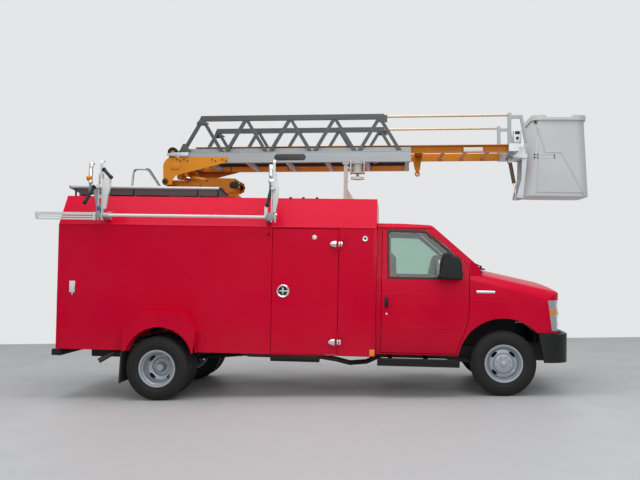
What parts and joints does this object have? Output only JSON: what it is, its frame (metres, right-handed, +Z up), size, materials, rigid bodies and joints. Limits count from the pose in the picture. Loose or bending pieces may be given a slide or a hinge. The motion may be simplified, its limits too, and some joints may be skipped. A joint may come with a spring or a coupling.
{
  "type": "bucket lift truck",
  "caption": "Service truck with a van cab, a box body and a telescopic ladder lift that carries a bucket over the cab.",
  "frame": {"origin": "ground level under the middle of the truck's outline, all wheels on z = 0", "axes": "+X to the truck's front, +Y to its left, +Z up"},
  "size_m": [6.6566, 2.55, 3.4374],
  "materials": {
    "body_red": "gloss",
    "frame_black": "satin",
    "exhaust_steel": "dull",
    "black_plastic": "matte",
    "flap_rubber": "matte",
    "lamp": "gloss",
    "glass": "clear",
    "cabin": "matte",
    "tyre": "matte",
    "wheel_silver": "satin",
    "boom_orange": "gloss",
    "boom_aluminium": "satin",
    "truss_grey": "satin",
    "deck_grey": "satin",
    "bucket_white": "satin",
    "arm_steel": "satin",
    "cylinder": "satin",
    "chrome": "polished",
    "post_white": "satin"
  },
  "bodies": {
    "chassis": {"chassis_frame": "frame_black", "engine": "frame_black", "fuel_tank": "frame_black", "exhaust": "exhaust_steel", "cab_shell": "body_red", "front_clip": "body_red", "grille": "black_plastic", "headlamps": "lamp", "windscreen": "glass", "front_bumper": "black_plastic", "running_boards": "black_plastic", "seats": "cabin", "dashboard": "cabin", "box_body": "body_red", "wheel_flares": "body_red", "rear_bumper": "black_plastic", "body_lamps": "lamp", "mud_flaps": "flap_rubber", "roof_platform": "deck_grey", "rack_mounts": "arm_steel", "boom_rest": "post_white", "work_lamp": "post_white", "pedestal": "boom_orange", "front_axle": "frame_black", "rear_axle": "frame_black"},
    "bonnet": {"bonnet": "body_red"},
    "side_door": {"side_door": "body_red"},
    "rack": {"ladder_rack": "arm_steel"},
    "turret": {"turret_head": "boom_orange"},
    "boom": {"outer_beams": "boom_aluminium", "trusses": "truss_grey", "boom_bracket": "boom_orange"},
    "fly": {"fly_beams": "boom_orange", "fly_rails": "boom_aluminium", "fly_tip": "arm_steel"},
    "bucket": {"bucket_arm": "arm_steel", "bucket": "bucket_white"},
    "lift_barrel": {"lift_barrel": "boom_orange"},
    "lift_rod": {"lift_rod": "chrome"},
    "level_barrel": {"level_barrel": "cylinder"},
    "level_rod": {"level_rod": "chrome"},
    "door_left": {"cab_door_left": "body_red", "door_glass_left": "glass", "mirror_left": "black_plastic"},
    "rear_door_left": {"rear_door_left": "body_red"},
    "knuckle_left": {"knuckle_left": "frame_black"},
    "front_wheel_left": {"front_tyre_left": "tyre", "front_rim_left": "wheel_silver"},
    "rear_wheel_left": {"rear_tyres_left": "tyre", "rear_rims_left": "wheel_silver"},
    "door_right": {"cab_door_right": "body_red", "door_glass_right": "glass", "mirror_right": "black_plastic"},
    "rear_door_right": {"rear_door_right": "body_red"},
    "knuckle_right": {"knuckle_right": "frame_black"},
    "front_wheel_right": {"front_tyre_right": "tyre", "front_rim_right": "wheel_silver"},
    "rear_wheel_right": {"rear_tyres_right": "tyre", "rear_rims_right": "wheel_silver"}
  },
  "joints": [
    {"name": "bonnet_hinge", "type": "hinge", "parent": "chassis", "child": "bonnet", "pos_m": [1.98667, 0, 1.45982], "axis": [0, -1, 0], "range_deg": [0, 45]},
    {"name": "door_left_hinge", "type": "hinge", "parent": "chassis", "child": "door_left", "pos_m": [1.77964, 1.004, 0.91704], "axis": [-0.0366, 0.0523, -0.998], "range_deg": [0, 70]},
    {"name": "door_right_hinge", "type": "hinge", "parent": "chassis", "child": "door_right", "pos_m": [1.77964, -1.004, 0.91704], "axis": [0.0366, 0.0523, 0.998], "range_deg": [0, 70]},
    {"name": "side_door_hinge", "type": "hinge", "parent": "chassis", "child": "side_door", "pos_m": [0.27282, -1.036, 1.22246], "axis": [0.0366, 0, 0.9993], "range_deg": [0, 100]},
    {"name": "rear_door_left_hinge", "type": "hinge", "parent": "chassis", "child": "rear_door_left", "pos_m": [-3.11124, 0.804, 1.44662], "axis": [-0.0366, 0, -0.9993], "range_deg": [0, 110]},
    {"name": "rear_door_right_hinge", "type": "hinge", "parent": "chassis", "child": "rear_door_right", "pos_m": [-3.11124, -0.804, 1.44662], "axis": [0.0366, 0, 0.9993], "range_deg": [0, 110]},
    {"name": "rack_turn", "type": "hinge", "parent": "chassis", "child": "rack", "pos_m": [-1.79325, -1.12, 2.1588], "axis": [0.9993, 0, -0.0366], "range_deg": [0, 110]},
    {"name": "steer_left", "type": "hinge", "parent": "chassis", "child": "knuckle_left", "pos_m": [2.15423, 0.79, 0.372], "axis": [0, 0, 1], "range_deg": [-35, 35]},
    {"name": "steer_right", "type": "hinge", "parent": "chassis", "child": "knuckle_right", "pos_m": [2.15423, -0.79, 0.372], "axis": [0, 0, 1], "range_deg": [-35, 35]},
    {"name": "front_wheel_left_spin", "type": "hinge", "parent": "knuckle_left", "child": "front_wheel_left", "pos_m": [2.15423, 0.88, 0.372], "axis": [0, 1, 0], "continuous": true},
    {"name": "front_wheel_right_spin", "type": "hinge", "parent": "knuckle_right", "child": "front_wheel_right", "pos_m": [2.15423, -0.88, 0.372], "axis": [0, 1, 0], "continuous": true},
    {"name": "rear_wheel_left_spin", "type": "hinge", "parent": "chassis", "child": "rear_wheel_left", "pos_m": [-1.85877, 0.915, 0.372], "axis": [0, 1, 0], "continuous": true},
    {"name": "rear_wheel_right_spin", "type": "hinge", "parent": "chassis", "child": "rear_wheel_right", "pos_m": [-1.85877, -0.915, 0.372], "axis": [0, 1, 0], "continuous": true},
    {"name": "slew", "type": "hinge", "parent": "chassis", "child": "turret", "pos_m": [-1.30112, 0, 2.48098], "axis": [0.0366, 0, 0.9993], "continuous": true},
    {"name": "lift", "type": "hinge", "parent": "turret", "child": "boom", "pos_m": [-1.89806, 0, 2.62996], "axis": [0, -1, 0], "range_deg": [0, 75]},
    {"name": "fly_slide", "type": "slide", "parent": "boom", "child": "fly", "axis": [0.9998, 0, -0.0209], "range_m": [0, 2.2]},
    {"name": "bucket_level", "type": "hinge", "parent": "fly", "child": "bucket", "pos_m": [2.57962, 0, 2.85423], "axis": [0, -1, 0], "range_deg": [-75.5, 0]},
    {"name": "lift_barrel_pivot", "type": "hinge", "parent": "turret", "child": "lift_barrel", "pos_m": [-1.10289, 0, 2.59279], "axis": [0, -1, 0], "range_deg": [0, 1.7]},
    {"name": "lift_rod_slide", "type": "slide", "parent": "lift_barrel", "child": "lift_rod", "axis": [-0.9824, 0, 0.1866], "range_m": [0, 0.1503]},
    {"name": "level_barrel_pivot", "type": "hinge", "parent": "fly", "child": "level_barrel", "pos_m": [2.42598, 0, 2.82544], "axis": [0, -1, 0], "range_deg": [-91.27, 0]},
    {"name": "level_rod_slide", "type": "slide", "parent": "level_barrel", "child": "level_rod", "axis": [0.1545, 0, -0.988], "range_m": [-0.1578, 0]}
  ],
  "couplings": [
    {"joint": "steer_right", "follows": "steer_left", "ratio": 1},
    {"joint": "bucket_level", "follows": "lift", "ratio": -1},
    {"joint": "lift_barrel_pivot", "follows": "lift", "ratio": 0.01598},
    {"joint": "lift_rod_slide", "follows": "lift", "m_per_rad": 0.11326},
    {"joint": "level_barrel_pivot", "follows": "lift", "ratio": -1.2102},
    {"joint": "level_rod_slide", "follows": "lift", "m_per_rad": -0.11904}
  ]
}
